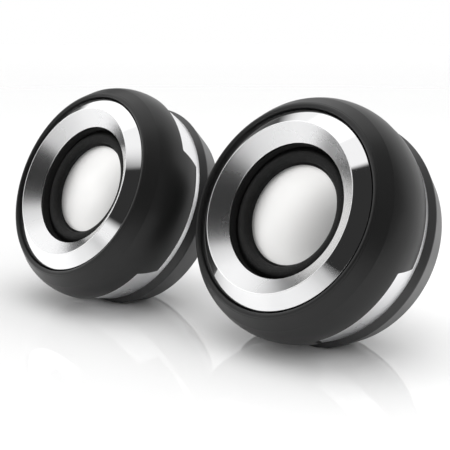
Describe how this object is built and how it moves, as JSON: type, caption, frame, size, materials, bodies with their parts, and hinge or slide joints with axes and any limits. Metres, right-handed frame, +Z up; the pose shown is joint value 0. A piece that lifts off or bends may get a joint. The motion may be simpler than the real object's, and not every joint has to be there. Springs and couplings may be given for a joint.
{
  "type": "desktop speakers",
  "caption": "Pair of small round desktop speakers tipped back on flat feet, each with a chromed ring round a two-inch driver with an aluminium dome and a silver accent band.",
  "frame": {"origin": "centre of the right speaker's rubber foot, on the desk", "axes": "+Z up, -Y the way both speakers face, +X to the right of a viewer in front, with the left speaker at -X"},
  "size_m": [0.1938, 0.0978, 0.092],
  "materials": {
    "soft_touch_black": "soft-touch coating",
    "rear_black": "fine-textured moulding",
    "panel_black": "fine-textured moulding",
    "satin_silver": "satin anodised, bright edges",
    "chrome_ring": "bright chrome plating on plastic",
    "satin_aluminium": "bead-blasted",
    "surround_rubber": "matt, faint speckle",
    "foam": "closed-cell foam",
    "gasket": "matt",
    "foot_rubber": "matt",
    "black_steel": "black e-coat",
    "zinc_steel": "bright zinc plate",
    "ferrite": "ground ferrite",
    "copper_coil": "enamelled copper wire",
    "paper_cone": "pressed paper",
    "spider_cloth": "treated cloth",
    "phenolic": "phenolic board",
    "wire": "PVC insulation",
    "jack_black": "moulded",
    "circuit_board": "solder mask",
    "chip_black": "moulded epoxy",
    "capacitor_sleeve": "shrink sleeve",
    "header_white": "nylon",
    "pot_metal": "zinc case",
    "knob_black": "fluted, matt"
  },
  "bodies": {
    "right_speaker": {"right_front_shell": "soft_touch_black", "right_accent_band": "satin_silver", "right_rear_shell": "rear_black", "right_back_panel": "panel_black", "right_trim_ring": "chrome_ring", "right_foot_pad": "foot_rubber", "right_driver_frame": "black_steel", "right_frame_gasket": "gasket", "right_foam_ring": "foam", "right_surround": "surround_rubber", "right_spider": "spider_cloth", "right_top_plate": "zinc_steel", "right_magnet": "ferrite", "right_pole_yoke": "zinc_steel", "right_driver_screws": "zinc_steel", "right_case_screws": "zinc_steel", "right_panel_screws": "zinc_steel", "right_terminal_strip": "phenolic", "right_driver_leads": "wire", "amp_board": "circuit_board", "amp_chip": "chip_black", "capacitors": "capacitor_sleeve", "lead_header": "header_white", "board_screws": "zinc_steel", "audio_in_jack": "jack_black", "link_out_jack": "jack_black", "usb_power_socket": "zinc_steel", "volume_pot": "pot_metal", "switch_housing": "pot_metal"},
    "left_speaker": {"left_front_shell": "soft_touch_black", "left_accent_band": "satin_silver", "left_rear_shell": "rear_black", "left_back_panel": "panel_black", "left_trim_ring": "chrome_ring", "left_foot_pad": "foot_rubber", "left_driver_frame": "black_steel", "left_frame_gasket": "gasket", "left_foam_ring": "foam", "left_surround": "surround_rubber", "left_spider": "spider_cloth", "left_top_plate": "zinc_steel", "left_magnet": "ferrite", "left_pole_yoke": "zinc_steel", "left_driver_screws": "zinc_steel", "left_case_screws": "zinc_steel", "left_panel_screws": "zinc_steel", "left_terminal_strip": "phenolic", "left_driver_leads": "wire", "left_link_in_jack": "jack_black"},
    "right_cone": {"right_dome": "satin_aluminium", "right_cone": "paper_cone", "right_voice_coil": "copper_coil"},
    "left_cone": {"left_dome": "satin_aluminium", "left_cone": "paper_cone", "left_voice_coil": "copper_coil"},
    "volume": {"volume_shaft": "zinc_steel", "volume_knob": "knob_black"},
    "power_slider": {"switch_slider": "knob_black"}
  },
  "joints": [
    {"name": "left_speaker_placement", "type": "slide", "parent": "right_speaker", "child": "left_speaker", "axis": [-1, 0, 0], "range_m": [0, 0.4]},
    {"name": "right_cone_travel", "type": "slide", "parent": "right_speaker", "child": "right_cone", "axis": [0, -0.9107, 0.4131], "range_m": [-0.002, 0.002], "stiffness_N_per_m": 900, "deforming": ["right_surround", "right_spider"]},
    {"name": "left_cone_travel", "type": "slide", "parent": "left_speaker", "child": "left_cone", "axis": [0, -0.9107, 0.4131], "range_m": [-0.002, 0.002], "stiffness_N_per_m": 900, "deforming": ["left_surround", "left_spider"]},
    {"name": "volume_turn", "type": "hinge", "parent": "right_speaker", "child": "volume", "pos_m": [0, 0.03896, 0.03926], "axis": [0, 0.9107, -0.4131], "range_deg": [0, 300]},
    {"name": "power_slide", "type": "slide", "parent": "right_speaker", "child": "power_slider", "axis": [0, 0.4131, 0.9107], "range_m": [0, 0.0026]}
  ]
}
